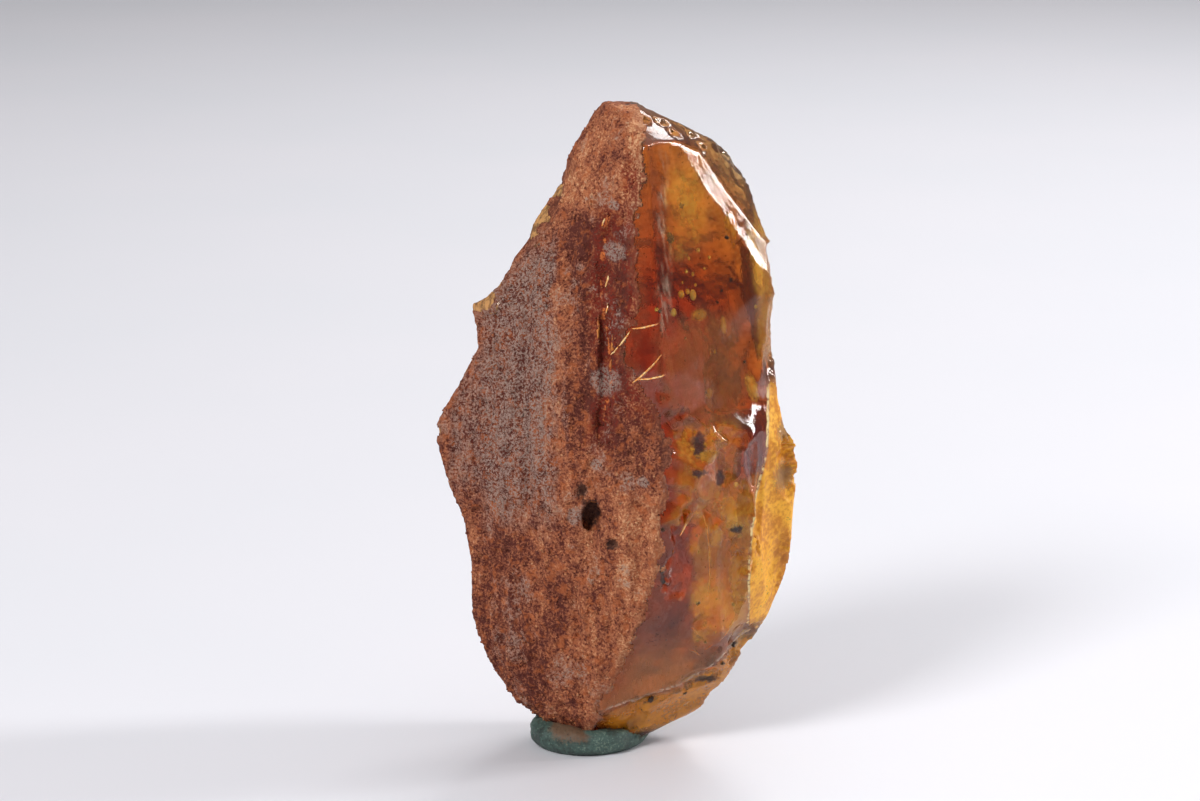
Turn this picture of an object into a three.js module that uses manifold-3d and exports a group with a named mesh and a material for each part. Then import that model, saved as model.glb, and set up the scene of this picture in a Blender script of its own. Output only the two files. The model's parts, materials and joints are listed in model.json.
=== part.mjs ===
// A raw piece of amber that stands upright on a small pressed pad of putty.
// Millimetres, +Z up. The origin is the middle of the pad's underside. The weathered
// crust faces the front (-Y) and the left (-X), and the clear broken side faces right.

import * as THREE from 'three';
import { mergeVertices } from 'three/addons/utils/BufferGeometryUtils.js';
import Module from 'manifold-3d';

const wasm = await Module();
wasm.setup();

// Driving dimensions.
const footHeight = 0.8; // underside of the amber above the floor
const topHeight = 51.2; // tip of the amber above the floor
const levelCount = 44; // rings of vertices from foot to tip
const fullBowWidth = 8; // a side this wide or wider bows out by its full amount
const waveHeight = 0.14; // long low waves that run up the skin
const lumpHeight = 0.1; // shorter lumps on top of them
const padRadius = 4.3; // half the width of the putty pad
const padFootRadius = 3.9; // half the width of its flat underside
const padOval = 1.12; // how much longer than wide the pad is
const padTurn = THREE.MathUtils.degToRad(25); // its long way runs to the right and back
const padHeight = 1.8; // before the stone is pressed into it
const padBulge = 0.2; // how far its side stands out under the rim
const padShoulder = 0.3; // how far its rim draws in at the top
const pressGap = 0.3; // clearance between the stone and the pad
const chipSegments = 36; // roundness of the bodies that cut the chips
const padSegments = 32; // roundness of the pad
const padCurveSteps = 5; // points on each curve of its rim

// The lump's six upright edges. Each is a run of corners: height, x, y.
const leftEdge = [
  [footHeight, -2.6, 0.4],
  [2.6, -5.4, 0.4],
  [6.2, -8, 0.2],
  [9.8, -9.3, 0],
  [15.4, -9.4, -0.2],
  [18.4, -9.9, -0.3],
  [20.8, -10.9, -0.4],
  [24.6, -12, -0.4],
  [26.2, -12, -0.4],
  [28, -10.9, -0.3],
  [30.4, -9.6, -0.2],
  [32, -8.6, -0.1],
  [34, -8.8, 0],
  [36, -9.4, 0.2],
  [37.4, -7.4, 0.4],
  [40.2, -4.8, 0.7],
  [42.3, -4.4, 0.8],
  [43.4, -3.4, 1],
  [47.3, -1.5, 1.2],
  [topHeight, 0.9, 1.2],
];
const crest = [
  [footHeight, 0.4, -3],
  [3.4, 0.8, -4.6],
  [7.4, 2.4, -6],
  [13, 4.4, -7.6],
  [18, 5.3, -8.6],
  [25, 5.6, -9],
  [32, 5.4, -8.8],
  [40, 5.2, -7.4],
  [45.4, 4.9, -6.4],
  [49.2, 4.2, -5.5],
  [topHeight, 2.4, -1.8],
];
const flank = [
  [footHeight, 3.8, -2.2],
  [3, 6, -3],
  [7.4, 8.8, -4.4],
  [13, 11.4, -5.2],
  [19, 12.6, -5.8],
  [25.6, 12.4, -7.2],
  [28.2, 10.8, -5.2],
  [38, 10.2, -4.2],
  [45.4, 9, -3.3],
  [49, 6.6, -3.5],
  [topHeight, 3.6, -1],
];
const rightEdge = [
  [footHeight, 5.4, 0.2],
  [2.2, 8.2, 0],
  [3.8, 10.8, -0.2],
  [7.6, 13, -0.4],
  [12.2, 14.7, -0.6],
  [14.8, 15.7, -0.8],
  [19.2, 16, -1],
  [24.6, 16.3, -1.2],
  [25.4, 15.3, -1.4],
  [28.4, 14.6, -1.4],
  [34, 14.2, -1.2],
  [40.8, 14.5, 0.2],
  [43, 14.2, 1.4],
  [46.6, 12.2, 2],
  [48.2, 9.6, 1.4],
  [49.2, 7.7, 0.6],
  [50.6, 5.4, -0.4],
  [topHeight, 3.6, 0.4],
];
const backRight = [
  [footHeight, 3.4, 2.4],
  [4, 5.8, 4.4],
  [10, 8.8, 7.2],
  [20, 10.6, 9.4],
  [30, 10.2, 9.2],
  [39, 9.2, 7.4],
  [46, 7.2, 4.6],
  [topHeight, 3, 1.4],
];
const backLeft = [
  [footHeight, -1, 2.6],
  [4, -3.2, 4.8],
  [10, -5.6, 7.6],
  [20, -7.4, 9],
  [28, -7.2, 8.8],
  [36, -5.2, 7.6],
  [43, -1.4, 5],
  [topHeight, 1.2, 1.6],
];

// The sides between those edges, in order round the lump seen from above:
// where each starts, how many steps it takes, and how far it bows outwards.
const crustSide = { from: leftEdge, to: crest, steps: 16, bow: 0.8 };
const innerFront = { from: crest, to: flank, steps: 8, bow: 0 };
const outerFront = { from: flank, to: rightEdge, steps: 8, bow: 0.2 };
const rightBack = { from: rightEdge, to: backRight, steps: 8, bow: 0.9 };
const backSide = { from: backRight, to: backLeft, steps: 10, bow: 0.8 };
const leftBack = { from: backLeft, to: leftEdge, steps: 8, bow: 0.5 };
const sides = [crustSide, innerFront, outerFront, rightBack, backSide, leftBack];
const roundSteps = sides.reduce((sum, side) => sum + side.steps, 0);

// Chips struck off the stone. Each one is a shallow hollow: the side it is on and how far
// along that side, its height on the stone, the way it faces (degrees round from the front
// towards the right, degrees upwards, and its roll), and its width, height and depth.
const chips = [
  // The clear front, from the top down.
  { on: outerFront, along: 0.7, up: 46, facing: [62, 26, 27], size: [12, 24, 0.85] },
  { on: innerFront, along: 0.75, up: 41, facing: [38, 12, 0], size: [14, 34, 0.6] },
  { on: outerFront, along: 0.15, up: 35.4, facing: [40, 3, -14], size: [11, 8.6, 0.4] },
  { on: outerFront, along: 0.15, up: 44.75, facing: [50, 20, 32], size: [7, 30, 0.65] },
  { on: outerFront, along: 0.9, up: 46.9, facing: [64, 20, 0], size: [1.6, 3, 0.9] },
  { on: outerFront, along: 0.9, up: 43.4, facing: [70, 10, 0], size: [1.6, 4, 0.9] },
  { on: innerFront, along: 0.3, up: 24, facing: [14, 10, 20], size: [4, 6, 0.45] },
  { on: innerFront, along: 0.6, up: 21.2, facing: [34, 4, -24], size: [5.4, 7, 0.55] },
  { on: outerFront, along: 0.45, up: 18.6, facing: [62, 2, 12], size: [5, 20, 0.9] },
  { on: innerFront, along: 0.6, up: 15, facing: [26, -8, 0], size: [8, 17, 0.7] },
  { on: innerFront, along: 0.4, up: 9, facing: [16, -24, 10], size: [14, 13, 0.7] },
  { on: outerFront, along: 0.2, up: 3.8, facing: [34, -46, 26], size: [11, 5, 0.9] },
  { on: innerFront, along: 0.4, up: 2, facing: [8, -24, 0], size: [4.4, 2.8, 0.5] },
  // The thin left edge.
  { on: crustSide, along: 0.05, up: 44, facing: [-70, 22, 24], size: [3.4, 9, 0.6] },
  { on: leftBack, along: 0.85, up: 37.4, facing: [-100, 34, 30], size: [5, 5, 0.9] },
  { on: leftBack, along: 0.5, up: 36, facing: [-136, 8, 0], size: [12, 17, 1.3] },
  { on: leftBack, along: 0.6, up: 24, facing: [-132, 0, 8], size: [13, 17, 1.4] },
  { on: leftBack, along: 0.55, up: 11, facing: [-128, -14, -10], size: [14, 17, 1.4] },
  // The broken back.
  { on: backSide, along: 0.4, up: 41, facing: [176, 20, -12], size: [19, 24, 1.9] },
  { on: backSide, along: 0.8, up: 27, facing: [-160, 2, 10], size: [19, 25, 2.1] },
  { on: backSide, along: 0.15, up: 27, facing: [152, 2, -16], size: [15, 22, 1.7] },
  { on: rightBack, along: 0.65, up: 33, facing: [118, 8, 0], size: [12, 24, 1.3] },
  { on: rightBack, along: 0.7, up: 18, facing: [122, -4, 20], size: [15, 18, 1.5] },
  { on: backSide, along: 0.45, up: 11, facing: [176, -18, 20], size: [22, 20, 2.2] },
  { on: rightBack, along: 0.5, up: 7, facing: [108, -32, 0], size: [13, 15, 1.3] },
  // The crust: its crack, its deep pit and a worn patch low on the left.
  { on: crustSide, along: 0.72, up: 34.5, facing: [-22, 2, 1], size: [0.7, 17, 0.7] },
  { on: crustSide, along: 0.68, up: 20, facing: [-24, 0, 0], size: [1, 1.7, 0.8] },
  { on: crustSide, along: 0.1, up: 14, facing: [-40, 0, 0], size: [2.4, 3.6, 0.4] },
];
const chipReach = 12; // how many times its depth a chip's body stands out of the stone

const amberColour = 0xa2541c;
const puttyColour = 0x4f8578;

// A point of an edge at a height, between its two nearest corners.
function edgeAt(edge, height) {
  const heights = edge.map((corner) => corner[0]);
  const places = edge.flatMap((corner) => [corner[1], corner[2]]);
  const [x, y] = new THREE.LinearInterpolant(heights, places, 2).evaluate(height);
  return new THREE.Vector2(x, y);
}

// The side and the place along it, 0 to 1, at a step round the lump.
function sideAtStep(step) {
  let left = step % roundSteps;
  const side = sides.find(({ steps }) => {
    left -= steps;
    return left < 0;
  });
  return { side, along: 1 + left / side.steps };
}

// The uneven skin: long low waves up the lump and short ones across it.
function unevenness(x, z) {
  const waves = Math.sin(x * 1.3 + z * 0.17) * waveHeight;
  const lumps = Math.sin(x * 2.7 + z * 1.9) * Math.sin(z * 0.8 - x) * lumpHeight;
  return waves + lumps;
}

// A point of the lump's skin on a side, part of the way along it and at a height.
function skinPoint(side, along, height) {
  const start = edgeAt(side.from, height);
  const end = edgeAt(side.to, height);
  const chord = end.clone().sub(start);
  const outward = new THREE.Vector2(chord.y, -chord.x).normalize();
  const swell = Math.sin(along * Math.PI);
  const bow = side.bow * Math.min(1, chord.length() / fullBowWidth);
  const point = start.lerp(end, along);
  point.addScaledVector(outward, swell * (bow + unevenness(point.x, height)));
  return new THREE.Vector3(point.x, point.y, height);
}

// The unbroken lump: a sphere's grid, with each ring laid round the six edges.
function lumpGeometry() {
  const geometry = new THREE.SphereGeometry(1, roundSteps, levelCount);
  const place = geometry.getAttribute('position');
  const grid = geometry.getAttribute('uv');
  for (let i = 0; i < place.count; i++) {
    const row = Math.round(grid.getY(i) * levelCount);
    const rise = THREE.MathUtils.clamp((row - 1) / (levelCount - 2), 0, 1);
    const height = THREE.MathUtils.lerp(footHeight, topHeight, rise);
    const { side, along } = sideAtStep(Math.round(grid.getX(i) * roundSteps));
    let point = skinPoint(side, along, height);
    if (row === 0 || row === levelCount) {
      const middle = edgeAt(leftEdge, height).lerp(edgeAt(rightEdge, height), 0.5);
      point = new THREE.Vector3(middle.x, middle.y, height);
    }
    place.setXYZ(i, point.x, point.y, point.z);
  }
  return geometry;
}

// A closed geometry as a solid that can be joined and cut.
function solidOf(geometry) {
  const bare = geometry.clone();
  bare.deleteAttribute('normal');
  bare.deleteAttribute('uv');
  const merged = mergeVertices(bare, 1e-3);
  return new wasm.Manifold(new wasm.Mesh({
    numProp: 3,
    vertProperties: new Float32Array(merged.getAttribute('position').array),
    triVerts: new Uint32Array(merged.index.array),
  }));
}

// A solid as a geometry.
function geometryOf(solid) {
  const mesh = solid.getMesh();
  const geometry = new THREE.BufferGeometry();
  geometry.setAttribute('position', new THREE.BufferAttribute(mesh.vertProperties, 3));
  geometry.setIndex(new THREE.BufferAttribute(mesh.triVerts, 1));
  const flat = geometry.toNonIndexed();
  flat.computeVertexNormals();
  return flat;
}

// The ellipsoid that one chip takes away. Where it meets the unbroken skin it is as wide
// and as high as the chip.
function chipSolid(chip) {
  const [width, height, depth] = chip.size;
  const [turn, rise, roll] = chip.facing.map(THREE.MathUtils.degToRad);
  const out = depth * chipReach;
  const spread = 0.5 / Math.sqrt(1 - (1 - 1 / chipReach) ** 2);
  const outward = new THREE.Vector3(
    Math.sin(turn) * Math.cos(rise),
    -Math.cos(turn) * Math.cos(rise),
    Math.sin(rise),
  );
  const geometry = new THREE.SphereGeometry(1, chipSegments, chipSegments / 2)
    .scale(width * spread, height * spread, out)
    .rotateZ(roll)
    .rotateX(Math.PI / 2 - rise)
    .rotateZ(turn);
  const middle = skinPoint(chip.on, chip.along, chip.up).addScaledVector(outward, out - depth);
  return solidOf(geometry.translate(middle.x, middle.y, middle.z));
}

function amberSolid() {
  return chips.reduce((stone, chip) => stone.subtract(chipSolid(chip)), solidOf(lumpGeometry()));
}

// The pad: an oval dab with a flat underside and a rounded rim, and the stone pressed into it.
function puttySolid(stone) {
  const profile = new THREE.Path();
  profile.moveTo(0, 0);
  profile.lineTo(padFootRadius, 0);
  profile.quadraticCurveTo(padRadius + padBulge, padHeight * 0.25, padRadius, padHeight * 0.6);
  profile.quadraticCurveTo(padRadius - padShoulder, padHeight, padFootRadius * 0.7, padHeight);
  profile.lineTo(0, padHeight);
  const dab = new THREE.LatheGeometry(profile.getPoints(padCurveSteps), padSegments)
    .rotateX(Math.PI / 2)
    .scale(padOval, 1, 1)
    .rotateZ(padTurn);
  return solidOf(dab).subtract(stone.translate([0, 0, -pressGap]));
}

// A named mesh of one solid, with its own material.
function meshOf(name, solid, material) {
  const mesh = new THREE.Mesh(geometryOf(solid), new THREE.MeshStandardMaterial(material));
  mesh.name = name;
  return mesh;
}

const stone = amberSolid();
const amberOnPutty = new THREE.Group();
amberOnPutty.add(
  meshOf('amber_piece', stone, { color: amberColour, roughness: 0.25, metalness: 0 }),
  meshOf('putty_pad', puttySolid(stone), { color: puttyColour, roughness: 0.8, metalness: 0 }),
);

export default amberOnPutty;
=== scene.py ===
import json
import math
import random

import bmesh
import bpy
from mathutils import Matrix, Vector, noise
from mathutils.kdtree import KDTree

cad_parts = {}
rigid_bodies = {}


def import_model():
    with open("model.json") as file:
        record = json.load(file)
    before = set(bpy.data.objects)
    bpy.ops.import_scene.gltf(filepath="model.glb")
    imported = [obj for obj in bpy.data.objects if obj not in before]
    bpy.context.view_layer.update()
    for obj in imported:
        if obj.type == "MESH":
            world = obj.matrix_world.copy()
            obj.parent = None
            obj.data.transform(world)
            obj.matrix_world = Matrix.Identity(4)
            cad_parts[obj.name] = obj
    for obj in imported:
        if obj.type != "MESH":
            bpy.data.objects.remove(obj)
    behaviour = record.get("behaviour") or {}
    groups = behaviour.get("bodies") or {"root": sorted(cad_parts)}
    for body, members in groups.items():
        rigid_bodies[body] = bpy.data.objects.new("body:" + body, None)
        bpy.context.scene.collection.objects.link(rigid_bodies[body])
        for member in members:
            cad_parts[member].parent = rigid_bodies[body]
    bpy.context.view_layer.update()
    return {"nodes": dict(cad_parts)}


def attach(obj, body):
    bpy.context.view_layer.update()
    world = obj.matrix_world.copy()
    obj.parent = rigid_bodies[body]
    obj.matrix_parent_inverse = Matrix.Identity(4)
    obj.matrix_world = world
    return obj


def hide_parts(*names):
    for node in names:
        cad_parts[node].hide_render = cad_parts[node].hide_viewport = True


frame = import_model()
mm = 0.001
chance = random.Random(7)
print("loaded the frame")

# helpers for shapes

def smoothShade(obj):
    for face in obj.data.polygons:
        face.use_smooth = True


def newObject(name, bm):
    mesh = bpy.data.meshes.new(name)
    bm.to_mesh(mesh)
    bm.free()
    obj = bpy.data.objects.new(name, mesh)
    bpy.context.scene.collection.objects.link(obj)
    smoothShade(obj)
    return obj


def applyModifiers(obj):
    # keeps what the modifiers make and drops the modifiers
    bpy.context.view_layer.update()
    graph = bpy.context.evaluated_depsgraph_get()
    mesh = bpy.data.meshes.new_from_object(obj.evaluated_get(graph))
    obj.modifiers.clear()
    old = obj.data
    obj.data = mesh
    bpy.data.meshes.remove(old)
    mesh.name = obj.name


def mergedCopy(nodeName):
    # a CAD node's triangles, joined at their corners
    bm = bmesh.new()
    bm.from_mesh(frame["nodes"][nodeName].data)
    bmesh.ops.remove_doubles(bm, verts=bm.verts, dist=0.002 * mm)
    return bm


def remesh(obj, cell):
    even = obj.modifiers.new("even", "REMESH")
    even.mode = "VOXEL"
    even.voxel_size = cell * mm
    applyModifiers(obj)


def addSmoothing(obj, times, group=""):
    smoothing = obj.modifiers.new("smooth", "SMOOTH")
    smoothing.iterations = times
    smoothing.vertex_group = group


def storeValues(obj, name, values):
    # a number for each vertex, which a material can read
    attribute = obj.data.attributes.new(name, "FLOAT", "POINT")
    attribute.data.foreach_set("value", values)


def pointTree(points):
    tree = KDTree(len(points))
    for i, point in enumerate(points):
        tree.insert(point, i)
    tree.balance()
    return tree


def fade(value, low, high):
    # 0 at low, 1 at high, with a soft start and end
    t = min(1.0, max(0.0, (value - low) / (high - low)))
    return t * t * (3 - 2 * t)


def grainAt(point, size, depth=3, seed=0.0):
    # layered noise of a given grain size in millimetres, about -1 to 1
    place = point / (size * mm) + Vector((seed, seed * 1.7, seed * 0.3))
    return noise.fractal(place, 0.6, 2.1, depth)


def alongLine(stops, height):
    # a value that runs through (height, value) stops
    if height <= stops[0][0]:
        return stops[0][1]
    for (lowHeight, lowValue), (highHeight, highValue) in zip(stops, stops[1:]):
        if height <= highHeight:
            share = (height - lowHeight) / (highHeight - lowHeight)
            return lowValue + (highValue - lowValue) * share
    return stops[-1][1]


def facingVector(turn, rise):
    # degrees round from the front towards the right, then degrees upwards
    a, b = math.radians(turn), math.radians(rise)
    return Vector((math.sin(a) * math.cos(b), -math.cos(a) * math.cos(b), math.sin(b)))


def frontPoint(obj, x, height):
    # where the skin is met from straight in front, and the way it faces there
    start = Vector((x * mm, -40 * mm, height * mm))
    hit, place, normal, _ = obj.ray_cast(start, Vector((0, 1, 0)))
    return (place, normal) if hit else (None, None)


def facingTurn(outward):
    # turns a flat shape to face outward
    return outward.to_track_quat("Z", "Y").to_matrix().to_4x4()


# the stone's evenly meshed body

body = {
    "cell": 0.22,  # mesh spacing, mm
    "keepAngle": 20,  # CAD edges sharper than this stay crisp
    "keepWidth": 0.8,  # how far from such an edge the smoothing is held back, mm
    "smoothing": 50,
    "eased": (12.4, 25.6, 2.9),  # x, height and reach of the ledge, where no edge stays crisp, mm
}


def sharpEdgePoints(bm):
    points = []
    limit = math.radians(body["keepAngle"])
    easedX, easedZ, reach = body["eased"]
    for edge in bm.edges:
        if len(edge.link_faces) == 2 and edge.calc_face_angle(0) > limit:
            start, end = edge.verts[0].co, edge.verts[1].co
            steps = max(1, int((end - start).length / (0.2 * mm)))
            row = [start.lerp(end, i / steps) for i in range(steps + 1)]
            points += [p for p in row if math.hypot(p.x / mm - easedX, p.z / mm - easedZ) > reach]
    return points


def makeBody():
    bm = mergedCopy("amber_piece")
    crisp = sharpEdgePoints(bm)
    obj = newObject("amber", bm)
    remesh(obj, body["cell"])
    tree = pointTree(crisp)
    soft = obj.vertex_groups.new(name="soft")
    for vertex in obj.data.vertices:
        distance = tree.find(vertex.co)[2] / mm
        soft.add([vertex.index], fade(distance, 0.1, body["keepWidth"]), "REPLACE")
    addSmoothing(obj, body["smoothing"], "soft")
    addSmoothing(obj, 2)
    applyModifiers(obj)
    obj.vertex_groups.clear()
    smoothShade(obj)
    return obj, crisp


amber, crispPoints = makeBody()
print("body:", len(amber.data.polygons), "faces")

# where the weathered crust lies

crust = {
    # height and x of the front border between the crust and the clear side, mm
    "border": [(2, -0.6), (5, 0.4), (7.8, 2), (14, 3.9), (17.5, 4.8), (23, 5.1), (27, 5.4), (29, 5.1),
               (30.6, 3.2), (33, 2.1), (35, 2.4), (36.6, 3.1), (39, 2.8), (43, 3.0), (46, 3.5),
               (51, 3.4)],
    "frontTurn": (0.02, 3.5),  # how far round to the side it goes, and how broad its ragged edge is there
    "bare": [  # places on the left edge where the crust has flaked off: x, height, reach, mm
        (-8.9, 36.6, 2), (-7.5, 37.7, 1.3), (-6.2, 39.6, 1.1), (-5.2, 41.2, 1.4), (-4.3, 42.9, 1.7),
        (-3.2, 44.6, 1.5), (-2.2, 46.4, 1.2), (-12, 25.6, 0.9), (-10.6, 28.2, 0.6), (0.6, 51.2, 0.8),
    ],
    "thickness": 0.4,  # mm, with the amber's own skin halfway through it
    "edge": 0.06,  # how far it stands on the amber at its edge, mm
    "edgeCover": -0.4,  # how far past its border it still runs
    "roughness": [  # grain size, height, layers, seed, and whether it is drawn out upwards, mm
        (2.4, 0.3, 3, 21, True),
        (0.9, 0.13, 2, 27, True),
        (1.1, 0.16, 3, 5, False),
        (0.45, 0.12, 2, 11, False),
    ],
    "hollows": (0.9, 0.26),  # size and depth of its many small hollows, mm
    "crackX": 1.25,  # mm
    "crackSpan": (23, 45),  # bottom and top of the long crack, mm
    "crackDepth": (0.34, 0.18),  # of the cleft and of the valley it lies in, mm
    "crackSway": (0.35, 0.45),  # width of its bends, mm, and how fast they follow each other
    "crackFoot": 34,  # below this height it leans to the left, mm
    "grooves": [  # long upright hollows: x, bottom, top, half width, depth, mm
        (-4.9, 19, 43, 0.9, 0.4), (-7.4, 22, 39, 1.2, 0.3), (-10, 20, 34, 0.7, 0.25),
        (-1.2, 8, 24, 0.8, 0.25), (-5.6, 4, 17, 1, 0.3), (3.2, 14, 27, 0.8, 0.3),
    ],
    "pits": [  # x, height, radius across, radius up, depth on the front, mm
        (0.04, 20.5, 0.75, 1.35, 1.1), (-0.55, 22.4, 0.45, 0.6, 0.5), (1.72, 18.3, 0.5, 0.46, 0.45),
        (0.6, 22.8, 0.5, 0.7, 0.35), (-6.8, 15.6, 0.9, 1.5, 0.35), (-6.1, 13.8, 0.7, 0.9, 0.32),
        (-2.4, 9.4, 0.35, 0.3, 0.3), (-8.2, 27.4, 0.7, 1.3, 0.2), (2.6, 29.2, 0.9, 0.6, 0.26),
        (-3.6, 30.2, 0.4, 1.6, 0.2), (3.4, 21.6, 0.5, 0.4, 0.3), (-1.8, 38.6, 0.5, 1.2, 0.2),
    ],
    "spots": [  # flat round grey spots: x, height, radius, mm
        (1.85, 40.8, 0.84), (1.77, 44.2, 0.42), (1.2, 31.1, 1.15), (4, 23.6, 0.45), (0.5, 24.6, 0.5),
        (-1.1, 20.3, 0.7),
    ],
}


def crackPlace(height):
    # x of the long upright crack, mm
    sway, pace = crust["crackSway"]
    return crust["crackX"] + sway * math.sin(height * pace) - 0.05 * max(0, crust["crackFoot"] - height)


def crustCover(point, normal):
    # millimetres inside the crust's border, below 0 where the amber is bare
    p = point / mm
    ragged = grainAt(point, 2.2, 4, 3) * 0.6 + grainAt(point, 0.5, 2, 8) * 0.22
    front = alongLine(crust["border"], p.z) - p.x
    turnLimit, turnBreadth = crust["frontTurn"]
    turned = (-normal.y - turnLimit) * turnBreadth
    cover = min(front, turned) + ragged
    for x, height, reach in crust["bare"]:
        cover = min(cover, math.hypot(p.x - x, p.z - height) - reach + ragged * 0.6)
    return cover


def crustRelief(point, normal):
    # how far the crust's skin stands out, mm
    p = point / mm
    upright = Vector((point.x, point.y, point.z * 0.2))
    relief = 0
    for size, height, layers, seed, drawnOut in crust["roughness"]:
        relief += grainAt(upright if drawnOut else point, size, layers, seed) * height
    holeSize, holeDepth = crust["hollows"]
    hole = noise.fractal(point / (holeSize * mm) + Vector((40, 0, 0)), 0.8, 2, 3)
    relief -= fade(hole, 0.4, 0.85) * holeDepth
    if normal.y > 0:
        return relief
    bottom, top = crust["crackSpan"]
    cleft, valley = crust["crackDepth"]
    crackDistance = abs(p.x - crackPlace(p.z) - 0.14 * grainAt(point, 0.6, 2, 30))
    inCrack = fade(p.z, bottom, bottom + 4) * (1 - fade(p.z, top - 3, top))
    relief -= (1 - fade(crackDistance, 0.05, 0.6)) * cleft * inCrack
    relief -= (1 - fade(crackDistance, 0.3, 1.6)) * valley * inCrack
    for x, low, high, width, depth in crust["grooves"]:
        offset = abs(p.x - x + grainAt(upright, 4, 2, 52) * 1.2)
        span = fade(p.z, low, low + 3) * (1 - fade(p.z, high - 3, high))
        relief -= (1 - fade(offset, 0, width)) * depth * span
    for x, height, across, up, depth in crust["pits"]:
        r = math.hypot((p.x - x) / across, (p.z - height) / up)
        r *= 1 + 0.4 * grainAt(point, 0.5, 3, 44)
        relief -= (1 - fade(r, 0.45, 1.15)) * depth
    wobble = grainAt(point, 0.9, 3, 33) * 0.4
    for x, height, radius in crust["spots"]:
        r = math.hypot(p.x - x, p.z - height) / radius + wobble
        relief += (1 - fade(r, 0.8, 1.05)) * (-0.06 - relief * 0.6)
        relief += (1 - fade(abs(r - 1.05), 0.0, 0.18)) * 0.05
    return relief


def crustMove(point, normal, cover):
    # how far the crust's face is from the smooth body, mm
    inside = fade(cover, -0.25, 0.4)
    return crust["edge"] + (crustRelief(point, normal) - 0.02) * inside


def crustShare(point):
    # the share of the crust's full thickness, less in the crack and the deep pits
    p = point / mm
    bottom, top = crust["crackSpan"]
    inCrack = fade(p.z, bottom - 1, bottom + 2) * (1 - fade(p.z, top - 1, top + 1))
    share = 1 - 0.8 * inCrack * (1 - fade(abs(p.x - crackPlace(p.z)), 0.7, 1.3))
    for x, height, across, up, _ in crust["pits"]:
        r = math.hypot((p.x - x) / across, (p.z - height) / up)
        share = min(share, 0.2 + 0.8 * fade(r, 1.2, 1.8))
    return share


def makeCrust():
    bm = bmesh.new()
    bm.from_mesh(amber.data)
    layer = bm.verts.layers.float.new("cover")
    for vertex, cover, move in zip(bm.verts, covers, crustMoves):
        vertex[layer] = cover
        vertex.co += vertex.normal * move * mm
    bare = [face for face in bm.faces if max(v[layer] for v in face.verts) < crust["edgeCover"]]
    bmesh.ops.delete(bm, geom=bare, context="FACES")
    obj = newObject("crust", bm)
    for _ in range(2):
        obj.data.materials.append(None)
    thick = obj.vertex_groups.new(name="thick")
    for vertex in obj.data.vertices:
        thick.add([vertex.index], crustShare(vertex.co), "REPLACE")
    shell = obj.modifiers.new("shell", "SOLIDIFY")
    shell.vertex_group = "thick"
    shell.material_offset = 1  # the side that lies in the amber
    shell.thickness = crust["thickness"] * mm
    shell.offset = -1
    applyModifiers(obj)
    smoothShade(obj)
    return obj


covers = [crustCover(v.co, v.normal) for v in amber.data.vertices]
crustMoves = []
for vertex, cover in zip(amber.data.vertices, covers):
    crustMoves.append(crustMove(vertex.co, vertex.normal, cover) if cover > -0.5 else 0)
crustSkin = makeCrust()
print("crust:", len(crustSkin.data.polygons), "faces")

# loose grains that stand out of the crust

grains = {
    "count": 8200,
    "radius": (0.055, 0.15),  # mm
    "sunk": 0.45,  # share of the radius under the crust's face
    "batch": 200,  # made together
}
coverTree = pointTree([v.co for v in amber.data.vertices])


def crustCoverAt(point):
    return covers[coverTree.find(point)[1]]


def makeGrains():
    skin = crustSkin.data
    front = [face for face in skin.polygons if face.normal.y < 0.1]
    outer = [face for face in front if crustCoverAt(face.center) > -0.2]
    smallest, largest = grains["radius"]
    whole = bmesh.new()
    tints = []
    for _ in range(grains["count"] // grains["batch"]):
        bm = bmesh.new()
        for _ in range(grains["batch"]):
            face = outer[chance.randrange(len(outer))]
            radius = smallest + (largest - smallest) * chance.random() ** 2
            jitter = Vector([chance.uniform(-0.1, 0.1) for _ in range(3)]) * mm
            place = face.center + jitter - face.normal * radius * grains["sunk"] * mm
            shape = Matrix.Diagonal((chance.uniform(0.7, 1.3), chance.uniform(0.7, 1.3), 0.8, 1))
            turn = facingTurn(face.normal) @ Matrix.Rotation(chance.uniform(0, 6.3), 4, "Z")
            matrix = Matrix.Translation(place) @ turn @ shape
            bmesh.ops.create_icosphere(bm, subdivisions=1, radius=radius * mm, matrix=matrix)
            tints += [chance.random()] * 12
        batch = bpy.data.meshes.new("batch")
        bm.to_mesh(batch)
        bm.free()
        whole.from_mesh(batch)
        bpy.data.meshes.remove(batch)
    obj = newObject("crust_grains", whole)
    storeValues(obj, "tint", tints)
    return obj


crustGrains = makeGrains()
print("grains:", len(crustGrains.data.polygons), "faces")

# chips, ripples and nicks on the clear amber

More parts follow.
